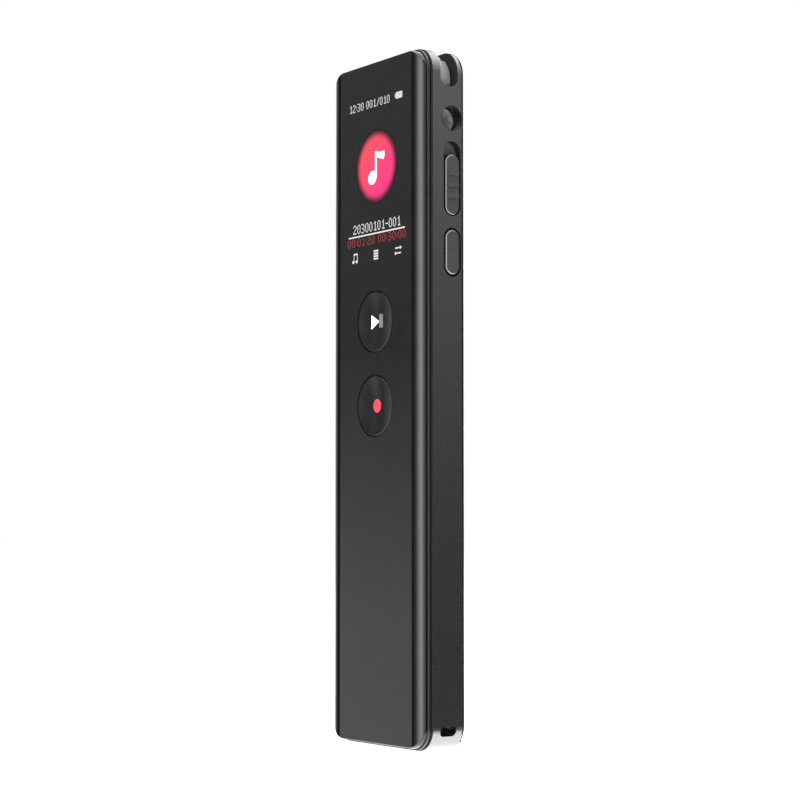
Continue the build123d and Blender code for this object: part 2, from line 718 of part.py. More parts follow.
with BuildPart() as side_switch_body:
    block((7.0, 9.2), (PCB_Y[1], 2.4), (middle(KEY_SLOT) - 1.75, middle(KEY_SLOT) + 1.75))
    fillet(side_switch_body.edges().filter_by(Axis.X), radius=0.2)
    with BuildSketch(side_plane(8.1)):
        with Locations((SIDE_Y, middle(KEY_SLOT))):
            Circle(PLUNGER_RADIUS + 0.08)
    extrude(amount=1.2, mode=Mode.SUBTRACT)
save(side_switch_body, "side_switch_body")


# ---------------------------------------------------------------- volume rocker
ROCKER_FLANGE_X = (-10.7, -10.2)
HUB_RADIUS = 0.8
HUB_Y = (0.45, 1.85)
CHEEKS = ((PCB_Y[1], 0.35), (1.95, 2.4))


with BuildPart() as volume_rocker:
    with BuildSketch(side_plane(-HALF_WIDTH - KEY_PROUD)):
        stadium(ROCKER_LENGTH, KEY_SLOT_WIDTH - 2 * KEY_GAP, ROCKER_Z)
    extrude(amount=ROCKER_FLANGE_X[0] + HALF_WIDTH + KEY_PROUD)
    fillet(volume_rocker.faces().sort_by(Axis.X)[0].edges(), radius=0.3)
    with BuildSketch(side_plane(ROCKER_FLANGE_X[0])):
        stadium(
            ROCKER_LENGTH + 2 * (ROCKER_GAP + KEY_FLANGE_LAP),
            KEY_SLOT_WIDTH + 2 * KEY_FLANGE_LAP,
            ROCKER_Z,
        )
    extrude(amount=length_of(ROCKER_FLANGE_X))
    block((ROCKER_FLANGE_X[1] - 0.05, ROCKER_PIVOT_X), HUB_Y, (ROCKER_Z - 0.5, ROCKER_Z + 0.5))
    with BuildSketch(front_plane(HUB_Y[1])):
        with Locations((ROCKER_PIVOT_X, ROCKER_Z)):
            Circle(HUB_RADIUS)
    extrude(amount=length_of(HUB_Y))
    with BuildSketch(front_plane(HUB_Y[1] + 0.1)):
        with Locations((ROCKER_PIVOT_X, ROCKER_Z)):
            Circle(PIN_RADIUS + 0.05)
    extrude(amount=length_of(HUB_Y) + 0.2, mode=Mode.SUBTRACT)
    # Nubs behind each end that press the two switches
    with BuildSketch(side_plane(ROCKER_FLANGE_X[1])):
        with Locations((SIDE_Y, ROCKER_Z)):
            with GridLocations(0, 2 * ROCKER_SWITCH_PITCH, 1, 2):
                Circle(0.5)
    extrude(amount=0.25)
save(volume_rocker, "volume_rocker")

with BuildPart() as rocker_pin:
    with BuildSketch(front_plane(CHEEKS[1][1])):
        with Locations((ROCKER_PIVOT_X, ROCKER_Z)):
            Circle(PIN_RADIUS)
    extrude(amount=CHEEKS[1][1] - CHEEKS[0][0])
save(rocker_pin, "rocker_pin")

with BuildPart() as rocker_bracket:
    for cheek in CHEEKS:
        block((-10.05, -8.2), cheek, (ROCKER_Z - 1.2, ROCKER_Z + 1.2))
    block((-8.2, -7.8), (CHEEKS[0][0], CHEEKS[1][1]), (ROCKER_Z - 1.2, ROCKER_Z + 1.2))
    with BuildSketch(front_plane(CHEEKS[1][1] + 0.1)):
        with Locations((ROCKER_PIVOT_X, ROCKER_Z)):
            Circle(PIN_RADIUS + 0.01)
    extrude(amount=3.0, mode=Mode.SUBTRACT)
save(rocker_bracket, "rocker_bracket")

with BuildPart() as volume_switches:
    for side in (-1, 1):
        height = ROCKER_Z + side * ROCKER_SWITCH_PITCH
        block((-9.2, -7.4), (PCB_Y[1], 2.4), (height - 1.6, height + 1.6))
        with BuildSketch(side_plane(-9.75)):
            with Locations((SIDE_Y, height)):
                Circle(PLUNGER_RADIUS)
        extrude(amount=0.55)
save(volume_switches, "volume_switches")


# ---------------------------------------------------------------- battery
with BuildPart() as battery_cell:
    block((-BATTERY_HALF_WIDTH, BATTERY_HALF_WIDTH), BATTERY_Y, BATTERY_Z)
    fillet(battery_cell.edges().filter_by(Axis.Z), radius=1.0)
save(battery_cell, "battery_cell")

with BuildPart() as battery_board:
    block((-6.0, 6.0), (1.0, 1.8), (BATTERY_Z[1], BATTERY_Z[1] + 1.6))
save(battery_board, "battery_board")

with BuildPart() as battery_connector:
    block((-2.4, 2.4), (PCB_Y[1], 1.9), (68.75, 70.55))
    fillet(battery_connector.edges().filter_by(Axis.Y), radius=0.2)
save(battery_connector, "battery_connector")

with BuildPart() as battery_leads:
    with BuildSketch(Plane.XY.offset(BATTERY_Z[1] + 1.6)):
        with Locations((-1.2, 1.4), (1.2, 1.4)):
            Circle(0.35)
    extrude(amount=1.8)
save(battery_leads, "battery_leads")

with BuildPart() as battery_pad:
    block((-8.0, 8.0), (PCB_Y[1], BATTERY_Y[0]), (30.35, 62.35))
save(battery_pad, "battery_pad")


# ---------------------------------------------------------------- speaker
with BuildPart() as speaker_frame:
    with BuildSketch(front_plane(SPEAKER_Y[1])):
        with Locations((0, SPEAKER_Z)):
            Circle(SPEAKER_RADIUS)
            Circle(SPEAKER_RADIUS - 0.7, mode=Mode.SUBTRACT)
    extrude(amount=length_of(SPEAKER_Y))
    with BuildSketch(front_plane(SPEAKER_Y[0] + 0.5)):
        with Locations((0, SPEAKER_Z)):
            Circle(SPEAKER_RADIUS)
            Circle(4.4, mode=Mode.SUBTRACT)
    extrude(amount=0.5)
save(speaker_frame, "speaker_frame")

with BuildPart() as speaker_magnet:
    with BuildSketch(front_plane(1.7)):
        with Locations((0, SPEAKER_Z)):
            Circle(4.4)
            Circle(3.9, mode=Mode.SUBTRACT)
    extrude(amount=1.4)
    with BuildSketch(front_plane(0.6)):
        with Locations((0, SPEAKER_Z)):
            Circle(4.4)
    extrude(amount=0.3)
    with BuildSketch(front_plane(1.7)):
        with Locations((0, SPEAKER_Z)):
            Circle(3.2)
    extrude(amount=1.1)
save(speaker_magnet, "speaker_magnet")

with BuildPart() as speaker_coil:
    with BuildSketch(front_plane(2.1)):
        with Locations((0, SPEAKER_Z)):
            Circle(3.7)
            Circle(3.4, mode=Mode.SUBTRACT)
    extrude(amount=1.3)
save(speaker_coil, "speaker_coil")

with BuildPart() as speaker_cone:
    with BuildSketch(front_plane(2.3)):
        with Locations((0, SPEAKER_Z)):
            Circle(SPEAKER_RADIUS - 0.75)
    extrude(amount=0.2)
    with BuildSketch(front_plane(2.55)):
        with Locations((0, SPEAKER_Z)):
            Circle(6.3)
            Circle(5.2, mode=Mode.SUBTRACT)
            Circle(3.6)
    extrude(amount=0.25)
save(speaker_cone, "speaker_cone")

with BuildPart() as speaker_gasket:
    with BuildSketch(front_plane(CAVITY_BACK)):
        with Locations((0, SPEAKER_Z)):
            Circle(SPEAKER_RADIUS)
            Circle(6.2, mode=Mode.SUBTRACT)
    extrude(amount=CAVITY_BACK - SPEAKER_Y[1])
save(speaker_gasket, "speaker_gasket")

with BuildPart() as speaker_mesh:
    with BuildSketch(front_plane(CAVITY_BACK)):
        with Locations((0, SPEAKER_Z)):
            Circle(6.1)
    extrude(amount=0.12)
save(speaker_mesh, "speaker_mesh")


# ---------------------------------------------------------------- microphones
CAPSULE_HALF = 1.15
CAPSULE_Z = (95.65, 96.95)


def side_limits(side, limits):
    """X limits on the +X side, or mirrored to the -X side."""
    return sorted((side * limits[0], side * limits[1]))


for side, side_name in ((1, "right"), (-1, "left")):
    boot_x = side_limits(side, BOOT_X)
    capsule_x = (middle(boot_x) - CAPSULE_HALF, middle(boot_x) + CAPSULE_HALF)
    capsule_y = (SLOT_Y - CAPSULE_HALF, SLOT_Y + CAPSULE_HALF)

    with BuildPart() as mic_capsule:
        block(capsule_x, capsule_y, CAPSULE_Z)
        fillet(mic_capsule.edges().filter_by(Axis.Z), radius=0.25)
    save(mic_capsule, f"mic_capsule_{side_name}")

    with BuildPart() as mic_boot:
        block(boot_x, (SLOT_Y - 1.55, SLOT_Y + 1.55), (CAPSULE_Z[0], BOOT_TOP))
        fillet(mic_boot.edges().filter_by(Axis.Z), radius=0.4)
        block(capsule_x, capsule_y, (CAPSULE_Z[0] - 0.1, CAPSULE_Z[1]), mode=Mode.SUBTRACT)
        with BuildSketch(Plane.XY.offset(CAPSULE_Z[1] - 0.1)):
            with Locations((side * PORT_X, SLOT_Y)):
                Circle(PORT_RADIUS)
        extrude(amount=2.0, mode=Mode.SUBTRACT)
        with BuildSketch(Plane.XY.offset(BOOT_TOP - 0.12)):
            with Locations((side * PORT_X, SLOT_Y)):
                Circle(0.8)
        extrude(amount=0.2, mode=Mode.SUBTRACT)
    save(mic_boot, f"mic_boot_{side_name}")

    with BuildPart() as mic_mesh:
        with BuildSketch(Plane.XY.offset(BOOT_TOP - 0.12)):
            with Locations((side * PORT_X, SLOT_Y)):
                Circle(0.78)
        extrude(amount=0.12)
    save(mic_mesh, f"mic_mesh_{side_name}")

with BuildPart() as mic_flex:
    block((-7.8, 7.8), (PCB_Y[1], 2.1), (CAPSULE_Z[0] - 0.15, CAPSULE_Z[0]))
    block((-7.8, -4.8), (PCB_Y[1], PCB_Y[1] + 0.15), (90.85, CAPSULE_Z[0]))
save(mic_flex, "mic_flex")
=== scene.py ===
import math

import bmesh
import bpy
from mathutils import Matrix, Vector


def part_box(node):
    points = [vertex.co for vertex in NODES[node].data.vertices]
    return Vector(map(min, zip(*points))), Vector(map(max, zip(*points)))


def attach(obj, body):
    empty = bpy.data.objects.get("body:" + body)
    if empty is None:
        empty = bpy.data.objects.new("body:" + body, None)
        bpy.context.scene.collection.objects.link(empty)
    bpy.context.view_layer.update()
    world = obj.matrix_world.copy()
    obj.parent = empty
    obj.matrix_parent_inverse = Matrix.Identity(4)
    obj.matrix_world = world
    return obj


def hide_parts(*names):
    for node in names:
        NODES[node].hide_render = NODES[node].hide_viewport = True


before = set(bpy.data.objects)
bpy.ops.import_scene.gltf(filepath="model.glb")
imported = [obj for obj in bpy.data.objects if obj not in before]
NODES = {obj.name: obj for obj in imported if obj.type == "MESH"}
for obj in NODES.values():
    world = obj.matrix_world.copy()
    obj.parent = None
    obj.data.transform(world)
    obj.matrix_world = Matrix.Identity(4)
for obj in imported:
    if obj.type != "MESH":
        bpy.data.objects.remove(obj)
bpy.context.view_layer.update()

# A handheld voice recorder. Metres throughout, in the CAD frame: +Z up, the front faces -Y.
MM = 0.001


# ---------------------------------------------------------------- measures from the frame
panel_low, panel_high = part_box("front_panel")
housing_low, housing_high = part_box("rear_housing")
play_low, play_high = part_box("play_button")
record_low, record_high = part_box("record_button")

PANEL_FRONT = panel_low.y
PANEL_BACK = panel_high.y
PANEL_CENTRE_Z = (panel_low.z + panel_high.z) / 2
PANEL_WIDTH = panel_high.x - panel_low.x
PANEL_HEIGHT = panel_high.z - panel_low.z
PANEL_CORNER = 3.18 * MM              # corner radius of the cover lens
PANEL_RIM = 0.10 * MM                 # straight rim under the curved edge
PANEL_SIDE_ROLL = 2.45 * MM           # how far in the long sides curve over
PANEL_END_ROLL = 0.25 * MM            # and the two ends
PLAY_Z = (play_low.z + play_high.z) / 2
RECORD_Z = (record_low.z + record_high.z) / 2
BUTTON_RADIUS = 4.42 * MM
BUTTON_HOLE = BUTTON_RADIUS + 0.20 * MM
DISH_RADIUS = 4.2 * MM
DISH_DEPTH = 0.42 * MM
SIDE_X = -housing_low.x               # the housing's side faces stand at +SIDE_X and -SIDE_X
HOUSING_CORNER = 3.5 * MM


# ---------------------------------------------------------------- material helpers
def grey(value):
    return (value, value, value)


def new_material(name, base, metallic=0.0, roughness=0.5, **inputs):
    """A Principled material; inputs are socket names with _ for spaces."""
    material = bpy.data.materials.new(name)
    material.use_nodes = True
    shader = material.node_tree.nodes["Principled BSDF"]
    shader.inputs["Base Color"].default_value = (*base, 1.0)
    shader.inputs["Metallic"].default_value = metallic
    shader.inputs["Roughness"].default_value = roughness
    for socket, value in inputs.items():
        shader.inputs[socket.replace("_", " ")].default_value = value
    return material


def node(material, kind, **inputs):
    made = material.node_tree.nodes.new(kind)
    for socket, value in inputs.items():
        made.inputs[socket.replace("_", " ")].default_value = value
    return made


def link(material, output, target):
    material.node_tree.links.new(output, target)


def shader_of(material):
    return material.node_tree.nodes["Principled BSDF"]


def noise(material, size, detail=3.0):
    """Noise in object coordinates, with features of about the given size in metres."""
    coordinates = node(material, "ShaderNodeTexCoord")
    made = node(material, "ShaderNodeTexNoise", Scale=1 / size, Detail=detail)
    link(material, coordinates.outputs["Object"], made.inputs["Vector"])
    return made.outputs["Fac"]


NOISE_LOW, NOISE_HIGH = 0.3, 0.7       # the part of the noise that is spread over the full range


def vary_roughness(material, size, low, high, **options):
    spread = node(
        material, "ShaderNodeMapRange",
        From_Min=NOISE_LOW, From_Max=NOISE_HIGH, To_Min=low, To_Max=high,
    )
    link(material, noise(material, size, **options), spread.inputs["Value"])
    link(material, spread.outputs["Result"], shader_of(material).inputs["Roughness"])


def vary_colour(material, size, dark, light, **options):
    ramp = node(material, "ShaderNodeValToRGB")
    ramp.color_ramp.elements[0].position = NOISE_LOW
    ramp.color_ramp.elements[0].color = (*dark, 1)
    ramp.color_ramp.elements[1].position = NOISE_HIGH
    ramp.color_ramp.elements[1].color = (*light, 1)
    link(material, noise(material, size, **options), ramp.inputs["Fac"])
    link(material, ramp.outputs["Color"], shader_of(material).inputs["Base Color"])


def add_bump(material, size, depth, strength):
    bump = node(material, "ShaderNodeBump", Strength=strength, Distance=depth)
    link(material, noise(material, size), bump.inputs["Height"])
    link(material, bump.outputs["Normal"], shader_of(material).inputs["Normal"])


# ---------------------------------------------------------------- materials
BLAST_GRAIN = 0.09 * MM
MOULD_GRAIN = 0.12 * MM


def satin_metal(name, dark, light, low, high):
    """Fine-blasted anodised metal."""
    material = new_material(name, light, metallic=1.0)
    vary_colour(material, 2.5 * MM, dark, light, detail=4.0)
    vary_roughness(material, 0.25 * MM, low, high)
    add_bump(material, BLAST_GRAIN, 0.001 * MM, strength=0.1)
    return material


def moulded(name, dark, light, low, high, depth=0.004 * MM, **inputs):
    """Moulded plastic or rubber with a fine grain."""
    material = new_material(name, light, **inputs)
    vary_colour(material, 3 * MM, dark, light)
    vary_roughness(material, 0.5 * MM, low, high)
    add_bump(material, MOULD_GRAIN, depth, strength=0.4)
    return material


def cover_glass():
    """Glass backed by black print."""
    material = new_material("cover_glass", grey(0.003), IOR=1.5)
    vary_colour(material, 4 * MM, grey(0.0025), grey(0.0035))
    vary_roughness(material, 6 * MM, 0.0, 0.02, detail=5.0)
    return material


def emissive(name, colour, strength):
    return new_material(
        name, (0.01, 0.01, 0.01), roughness=0.9, Specular_IOR_Level=0.0,
        Emission_Color=(*colour, 1.0), Emission_Strength=strength,
    )


MATERIALS = {
    "housing_metal": satin_metal("housing_metal", grey(0.213), grey(0.222), 0.27, 0.3),
    "frame_plastic": moulded("frame_plastic", grey(0.007), grey(0.010), 0.28, 0.36),
    "cover_glass": cover_glass(),
    "button_gloss": moulded("button_gloss", grey(0.005), grey(0.007), 0.2, 0.25, depth=0.0005 * MM),
    "control_metal": satin_metal("control_metal", grey(0.17), grey(0.20), 0.38, 0.44),
    "display": moulded("display", grey(0.006), grey(0.009), 0.2, 0.3),
    "light_guide": moulded("light_guide", grey(0.7), grey(0.8), 0.3, 0.4),
    "steel": satin_metal("steel", grey(0.5), grey(0.58), 0.25, 0.35),
    "bright_plating": moulded("bright_plating", grey(0.7), grey(0.85), 0.4, 0.5, metallic=0.15),
    "contact_metal": satin_metal("contact_metal", (0.72, 0.5, 0.22), (0.8, 0.58, 0.28), 0.2, 0.3),
    "black_plastic": moulded("black_plastic", grey(0.012), grey(0.02), 0.4, 0.5),
    "chip_resin": moulded("chip_resin", grey(0.014), grey(0.022), 0.5, 0.6),
    "board_laminate": moulded("board_laminate", (0.01, 0.05, 0.02), (0.015, 0.08, 0.03), 0.3, 0.4),
    "flex_film": moulded("flex_film", (0.45, 0.2, 0.03), (0.55, 0.26, 0.05), 0.25, 0.35),
    "soft_rubber": moulded("soft_rubber", grey(0.015), grey(0.022), 0.7, 0.8),
    "foil_pouch": satin_metal("foil_pouch", grey(0.55), grey(0.65), 0.3, 0.4),
    "lead_insulation": moulded("lead_insulation", (0.4, 0.01, 0.01), (0.5, 0.02, 0.02), 0.4, 0.5),
    "speaker_film": moulded("speaker_film", grey(0.03), grey(0.05), 0.3, 0.5),
}
satin_grey = moulded("satin_grey", grey(0.075), grey(0.085), 0.5, 0.6)
# Painted light: the light grey laid on the slot floors, where light falls into the slots
slot_painted_light = moulded("slot_painted_light", grey(0.26), grey(0.3), 0.4, 0.5)
slot_shadow = new_material("slot_shadow", grey(0.012), roughness=0.8, Specular_IOR_Level=0.2)
vary_colour(slot_shadow, 1 * MM, grey(0.008), grey(0.014))

for cad_node in NODES.values():
    for material_slot in cad_node.material_slots:
        material_slot.material = MATERIALS[material_slot.material.name.split(".")[0]]
for material_slot in NODES["slide_guide"].material_slots:
    material_slot.material = satin_grey


# ---------------------------------------------------------------- mesh helpers
def arc_points(centre, radius, start, end, steps):
    """Points (x, z) on an arc, angles in degrees."""
    points = []
    for step in range(steps + 1):
        angle = math.radians(start + (end - start) * step / steps)
        points.append((centre[0] + radius * math.cos(angle), centre[1] + radius * math.sin(angle)))
    return points


def rounded_rectangle(width, height, radius, centre=(0, 0), steps=8):
    """A closed outline (x, z), anticlockwise from the right side."""
    x, z = width / 2 - radius, height / 2 - radius
    points = []
    for corner, (side_x, side_z) in enumerate(((1, 1), (-1, 1), (-1, -1), (1, -1))):
        corner_centre = (centre[0] + side_x * x, centre[1] + side_z * z)
        points += arc_points(corner_centre, radius, 90 * corner, 90 * corner + 90, steps)
    return points


def circle(centre, radius, steps=64):
    return arc_points(centre, radius, 0, 360, steps)[:-1]


def add_loop(mesh, outline, y):
    """Vertices of a closed outline at depth y, joined by edges."""
    verts = [mesh.verts.new((x, y, z)) for x, z in outline]
    edges = [mesh.edges.new((verts[i - 1], verts[i])) for i in range(len(verts))]
    return verts, edges


def bridge(mesh, lower, upper):
    for i in range(len(lower)):
        mesh.faces.new((lower[i - 1], lower[i], upper[i], upper[i - 1]))


SHARP_ANGLE = math.radians(35)


def finish_mesh(name, mesh, material, body, replaces=()):
    """Turn a bmesh into a piece that rides on a body."""
    bmesh.ops.recalc_face_normals(mesh, faces=mesh.faces)
    data = bpy.data.meshes.new(name)
    mesh.to_mesh(data)
    mesh.free()
    for polygon in data.polygons:
        polygon.use_smooth = True
    data.set_sharp_from_angle(angle=SHARP_ANGLE)
    data.materials.append(material)
    piece = bpy.data.objects.new(name, data)
    bpy.context.scene.collection.objects.link(piece)
    weighted = piece.modifiers.new("weighted_normals", "WEIGHTED_NORMAL")
    weighted.keep_sharp = True
    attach(piece, body)
    if replaces:
        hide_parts(*replaces)


def plate_into(mesh, outlines, front, back):
    """Add a flat closed plate to a bmesh: outlines[0] is the rim, the rest are holes."""
    front_loops = [add_loop(mesh, outline, front) for outline in outlines]
    back_loops = [add_loop(mesh, outline, back) for outline in outlines]
    for loops in (front_loops, back_loops):
        edges = [edge for _, loop_edges in loops for edge in loop_edges]
        bmesh.ops.triangle_fill(mesh, edges=edges, use_beauty=True)
    for (front_verts, _), (back_verts, _) in zip(front_loops, back_loops):
        bridge(mesh, front_verts, back_verts)


def band(name, outer, inner, place, limits, material, body):
    """A closed ring between two outlines; place(a, b, depth) gives a point."""
    mesh = bmesh.new()
    rings = [
        [mesh.verts.new(place(a, b, depth)) for a, b in outline]
        for outline in (outer, inner) for depth in limits
    ]
    for lower, upper in ((0, 1), (1, 3), (3, 2), (2, 0)):
        bridge(mesh, rings[lower], rings[upper])
    finish_mesh(name, mesh, material, body)


def strip(mesh, rows):
    """Fill a ladder of two-vertex rows and return the vertices round its rim."""
    for lower, upper in zip(rows, rows[1:]):
        mesh.faces.new((lower[0], lower[1], upper[1], upper[0]))
    return [row[0] for row in rows] + [row[1] for row in reversed(rows)]


# ---------------------------------------------------------------- cover lens
EDGE_STEPS = 20
END_STEPS = 6
INK_STEP = 0.002 * MM                 # each layer of ink stands this far in front of the last
LENS_FACE = PANEL_FRONT + 2 * INK_STEP
INK_FRONT = LENS_FACE - INK_STEP
NOTE_FRONT = LENS_FACE - 2 * INK_STEP   # the note stands in front of the disc
INK_BACK = PANEL_FRONT + 10 * INK_STEP
SCREEN_X = 0.4 * MM                   # middle of the picture on the screen


def lens_stations():
    """X stations across one side of the lens, from its edge inwards."""
    stations = [
        PANEL_SIDE_ROLL * (1 - math.cos(math.pi / 2 * step / EDGE_STEPS)) for step in range(EDGE_STEPS + 1)
    ]
    return stations + [PANEL_SIDE_ROLL + share * (PANEL_CORNER - PANEL_SIDE_ROLL) for share in (0.25, 0.6, 1)]


def roll(distance, reach):
    """Height of a quarter-ellipse edge, as a share, at a distance in from the edge."""
    if distance >= reach:
        return 1.0
    return math.sqrt(max(0.0, 1 - (1 - distance / reach) ** 2))


def lens_point(inset, end, side_x, side_z):
    """A point of the front surface: inset from the long side, end distance in from the end."""
    half_x, half_z = PANEL_WIDTH / 2, PANEL_HEIGHT / 2
    into_corner = max(0.0, PANEL_CORNER - inset)
    drop = PANEL_CORNER - math.sqrt(PANEL_CORNER**2 - into_corner**2)
    below = drop + end
    if below < PANEL_CORNER and into_corner > 0:
        edge_distance = PANEL_CORNER - math.hypot(into_corner, PANEL_CORNER - below)
    else:
        edge_distance = below
    height = roll(inset, PANEL_SIDE_ROLL) * roll(edge_distance, PANEL_END_ROLL)
    rim_front = PANEL_BACK - PANEL_RIM
    return (
        side_x * (half_x - inset),
        rim_front + (LENS_FACE - rim_front) * height,
        PANEL_CENTRE_Z + side_z * (half_z - below),
    )


def cover_lens():
    """Lens whose long sides roll over, with two button holes."""
    mesh = bmesh.new()
    stations = lens_stations()
    ends = [PANEL_END_ROLL * (1 - math.cos(math.pi / 2 * step / END_STEPS)) for step in range(END_STEPS + 1)]
    columns = [(1, inset) for inset in stations] + [(-1, inset) for inset in reversed(stations)]
    rows = [(1, end) for end in ends] + [(-1, end) for end in reversed(ends)]
    grid = [
        [mesh.verts.new(lens_point(inset, end, side_x, side_z)) for side_z, end in rows]
        for side_x, inset in columns
    ]
    middle_column, middle_row = len(stations) - 1, len(ends) - 1
    for i in range(len(columns) - 1):
        for j in range(len(rows) - 1):
            if (i, j) != (middle_column, middle_row):
                mesh.faces.new((grid[i][j], grid[i + 1][j], grid[i + 1][j + 1], grid[i][j + 1]))
    # The flat middle is filled round the button holes
    flat = [
        grid[middle_column][middle_row], grid[middle_column + 1][middle_row],
        grid[middle_column + 1][middle_row + 1], grid[middle_column][middle_row + 1],
    ]
    front_edges = [mesh.edges.get((flat[i - 1], flat[i])) for i in range(4)]
    rim = [column[0] for column in grid] + grid[-1][1:] + [column[-1] for column in reversed(grid[:-1])]
    rim += list(reversed(grid[0][1:-1]))
    back_verts, back_edges = add_loop(mesh, [(vert.co.x, vert.co.z) for vert in rim], PANEL_BACK)
    bridge(mesh, back_verts, rim)
    for height in (PLAY_Z, RECORD_Z):
        hole = circle((0, height), BUTTON_HOLE, 96)
        near_verts, near_edges = add_loop(mesh, hole, LENS_FACE)
        far_verts, far_edges = add_loop(mesh, hole, PANEL_BACK)
        bridge(mesh, near_verts, far_verts)
        front_edges += near_edges
        back_edges += far_edges
    bmesh.ops.triangle_fill(mesh, edges=front_edges, use_beauty=True)
    bmesh.ops.triangle_fill(mesh, edges=back_edges, use_beauty=True)
    finish_mesh(
        "cover_lens", mesh, MATERIALS["cover_glass"], "housing", replaces=["front_panel"]
    )


cover_lens()

# ---------------------------------------------------------------- screen graphics
WHITE_INK = emissive("screen_white", (1, 1, 1), 0.85)
RED_INK = emissive("screen_red", (0.5, 0.04, 0.05), 0.8)


def on_screen(outline):
    return [(x + SCREEN_X, z) for x, z in outline]


def add_ink(name, outlines, material):
    """A lit shape on the screen."""
    mesh = bmesh.new()
    plate_into(mesh, [on_screen(outline) for outline in outlines], INK_FRONT, INK_BACK)
    finish_mesh(name, mesh, material, "housing")


GLYPH_ROWS = 7
GLYPHS = {
    "0": ("0110", "1001", "1001", "1001", "1001", "1001", "0110"),
    "1": ("0010", "0110", "0010", "0010", "0010", "0010", "0111"),
    "2": ("0110", "1001", "0001", "0010", "0100", "1000", "1111"),
    "3": ("1110", "0001", "0001", "0110", "0001", "0001", "1110"),
    ":": ("0", "0", "1", "0", "1", "0", "0"),
    "/": ("0001", "0001", "0010", "0010", "0100", "0100", "1000"),
    "-": ("000", "000", "000", "111", "000", "000", "000"),
    " ": ("00", "00", "00", "00", "00", "00", "00"),
}


def pixel_text(name, text, left, right, low, high, material):
    """Digits drawn as separate screen pixels that fill the given box."""
    columns = sum(len(GLYPHS[c][0]) + 1 for c in text) - 1
    pitch_x = (right - left) / columns
    pitch_z = (high - low) / GLYPH_ROWS
    mesh = bmesh.new()
    column = 0
    for character in text:
        rows = GLYPHS[character]
        for row, pixels in enumerate(rows):
            for offset, pixel in enumerate(pixels):
                if pixel == "1":
                    centre = (left + (column + offset + 0.5) * pitch_x, high - (row + 0.5) * pitch_z)
                    outline = rounded_rectangle(0.9 * pitch_x, 0.9 * pitch_z, 0.15 * pitch_x, centre, 1)
                    plate_into(mesh, [on_screen(outline)], INK_FRONT, INK_BACK)
        column += len(rows[0]) + 1
    finish_mesh(name, mesh, material, "housing")


pixel_text("status_digits", "12:30 001/010", -7.3 * MM, 3.5 * MM, 93.8 * MM, 95.0 * MM, WHITE_INK)
pixel_text("title_digits", "20300101-001", -6.2 * MM, 6.3 * MM, 75.35 * MM, 76.75 * MM, WHITE_INK)
pixel_text("time_digits", "00:01:20 00:30:00", -7.7 * MM, 7.7 * MM, 73.45 * MM, 74.65 * MM, RED_INK)
add_ink("progress_line", [rounded_rectangle(14.9 * MM, 0.22 * MM, 0.05 * MM, (0, 74.95 * MM), 2)], WHITE_INK)

DISC = (0.0, 84.85 * MM)
DISC_RADIUS = 4.15 * MM
GLOW_RADIUS = 5.6 * MM


def disc_material():
    """Coral at the upper left to magenta at the lower right, fading softly at the rim."""
    material = emissive("disc", (1, 0.1, 0.15), 1.0)
    coordinates = node(material, "ShaderNodeTexCoord")
    shift = node(material, "ShaderNodeVectorMath")
    shift.operation = "SUBTRACT"
    shift.inputs[1].default_value = (DISC[0] + SCREEN_X, 0, DISC[1])
    link(material, coordinates.outputs["Object"], shift.inputs[0])
    across = node(material, "ShaderNodeVectorMath")
    across.operation = "DOT_PRODUCT"
    across.inputs[1].default_value = (0.7, 0, -0.7)
    link(material, shift.outputs["Vector"], across.inputs[0])
    spread = node(
        material, "ShaderNodeMapRange",
        From_Min=-DISC_RADIUS, From_Max=DISC_RADIUS, To_Min=0, To_Max=1,
    )
    link(material, across.outputs["Value"], spread.inputs["Value"])
    ramp = node(material, "ShaderNodeValToRGB")
    ramp.color_ramp.elements[0].color = (1.0, 0.08, 0.11, 1)
    ramp.color_ramp.elements[1].color = (1.0, 0.035, 0.25, 1)
    link(material, spread.outputs["Result"], ramp.inputs["Fac"])
    link(material, ramp.outputs["Color"], shader_of(material).inputs["Emission Color"])
    flat = node(material, "ShaderNodeVectorMath")
    flat.operation = "MULTIPLY"
    flat.inputs[1].default_value = (1, 0, 1)
    distance = node(material, "ShaderNodeVectorMath")
    distance.operation = "LENGTH"
    link(material, shift.outputs["Vector"], flat.inputs[0])
    link(material, flat.outputs["Vector"], distance.inputs[0])
    fade = node(
        material, "ShaderNodeMapRange",
        From_Min=DISC_RADIUS * 0.9, From_Max=GLOW_RADIUS, To_Min=1.0, To_Max=0.0,
    )
    fade.interpolation_type = "SMOOTHERSTEP"
    link(material, distance.outputs["Value"], fade.inputs["Value"])
    link(material, fade.outputs["Result"], shader_of(material).inputs["Emission Strength"])
    return material


add_ink("disc", [circle(DISC, GLOW_RADIUS, 96)], disc_material())


def ellipse(centre, half_width, half_height, tilt=0.0):
    tilt = math.radians(tilt)
    points = []
    for x, z in circle((0, 0), 1.0, 32):
        x, z = x * half_width, z * half_height
        points.append((
            centre[0] + x * math.cos(tilt) - z * math.sin(tilt),
            centre[1] + x * math.sin(tilt) + z * math.cos(tilt),
        ))
    return points


def music_note():
    """A single eighth note: head, stem and flag."""
    x, z = DISC
    head = ellipse((x - 1.05 * MM, z - 1.55 * MM), 1.15 * MM, 1.0 * MM, 20)
    stem = rounded_rectangle(0.5 * MM, 3.9 * MM, 0.1 * MM, (x - 0.12 * MM, z + 0.35 * MM), 3)
    flag_shape = ((-0.37, 2.3), (-0.37, 1.5), (0.4, 1.25), (1.9, 0.8), (2.2, 1.4), (2.1, 2.1), (0.8, 2.05))
    flag = [(x + across * MM, z + up * MM) for across, up in flag_shape]
    mesh = bmesh.new()
    for outline in (head, stem, flag):
        plate_into(mesh, [on_screen(outline)], NOTE_FRONT, INK_BACK)
    finish_mesh("disc_note", mesh, emissive("note_white", (1, 0.97, 1), 1.4), "housing")


music_note()


